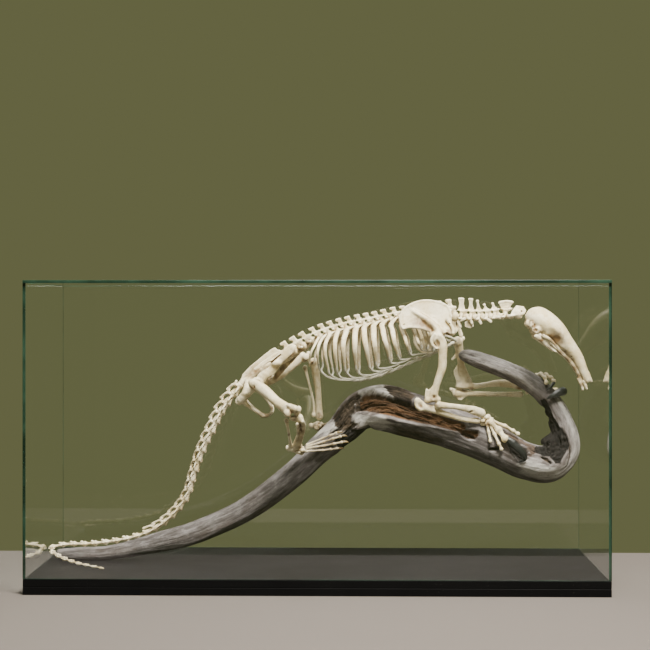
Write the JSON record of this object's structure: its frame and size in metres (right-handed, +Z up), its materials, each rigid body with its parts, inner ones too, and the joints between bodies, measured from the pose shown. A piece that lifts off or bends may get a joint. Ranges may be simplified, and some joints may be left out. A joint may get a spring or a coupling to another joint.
{
  "type": "mounted tamandua skeleton in glass case",
  "caption": "Mounted tamandua skeleton climbing along a hooked driftwood branch, on a black base board under a clear glass case.",
  "frame": {"origin": "middle of the underside of the base board", "axes": "+Z up, +X the way the animal faces, along the long side of the case, -Y towards the front pane that the animal's right side faces"},
  "size_m": [0.66, 0.25, 0.354],
  "materials": {
    "bone": "dry pale ivory bone, satin",
    "claw_horn": "dark grey-green horn, glossy",
    "driftwood": "silver-grey weathered wood with brown rotted hollows, rough",
    "black_board": "black painted board, satin",
    "case_glass": "clear glass with green edges, polished"
  },
  "bodies": {
    "root": {"neck": "bone", "thoracic_spine": "bone", "lumbar_spine": "bone", "pelvis": "bone", "tail_1": "bone", "tail_2": "bone", "tail_3": "bone", "tail_4": "bone", "rib_cage_right": "bone", "rib_cage_left": "bone", "skull": "bone", "mandible": "bone", "scapula_r": "bone", "scapula_l": "bone", "humerus_r": "bone", "ulna_r": "bone", "radius_r": "bone", "humerus_l": "bone", "ulna_l": "bone", "radius_l": "bone", "femur_r": "bone", "tibia_r": "bone", "fibula_r": "bone", "femur_l": "bone", "tibia_l": "bone", "fibula_l": "bone", "hand_r": "bone", "claw_hand_r": "claw_horn", "hand_l": "bone", "claw_hand_l": "claw_horn", "claw_hand_l_small": "claw_horn", "foot_r": "bone", "claw_foot_r_1": "claw_horn", "claw_foot_r_2": "claw_horn", "claw_foot_r_3": "claw_horn", "claw_foot_r_4": "claw_horn", "foot_l": "bone", "claw_foot_l_1": "claw_horn", "claw_foot_l_2": "claw_horn", "claw_foot_l_3": "claw_horn", "claw_foot_l_4": "claw_horn", "base_board": "black_board", "glass_front": "case_glass", "glass_back": "case_glass", "glass_left": "case_glass", "glass_right": "case_glass", "glass_top": "case_glass", "driftwood": "driftwood"}
  },
  "joints": []
}
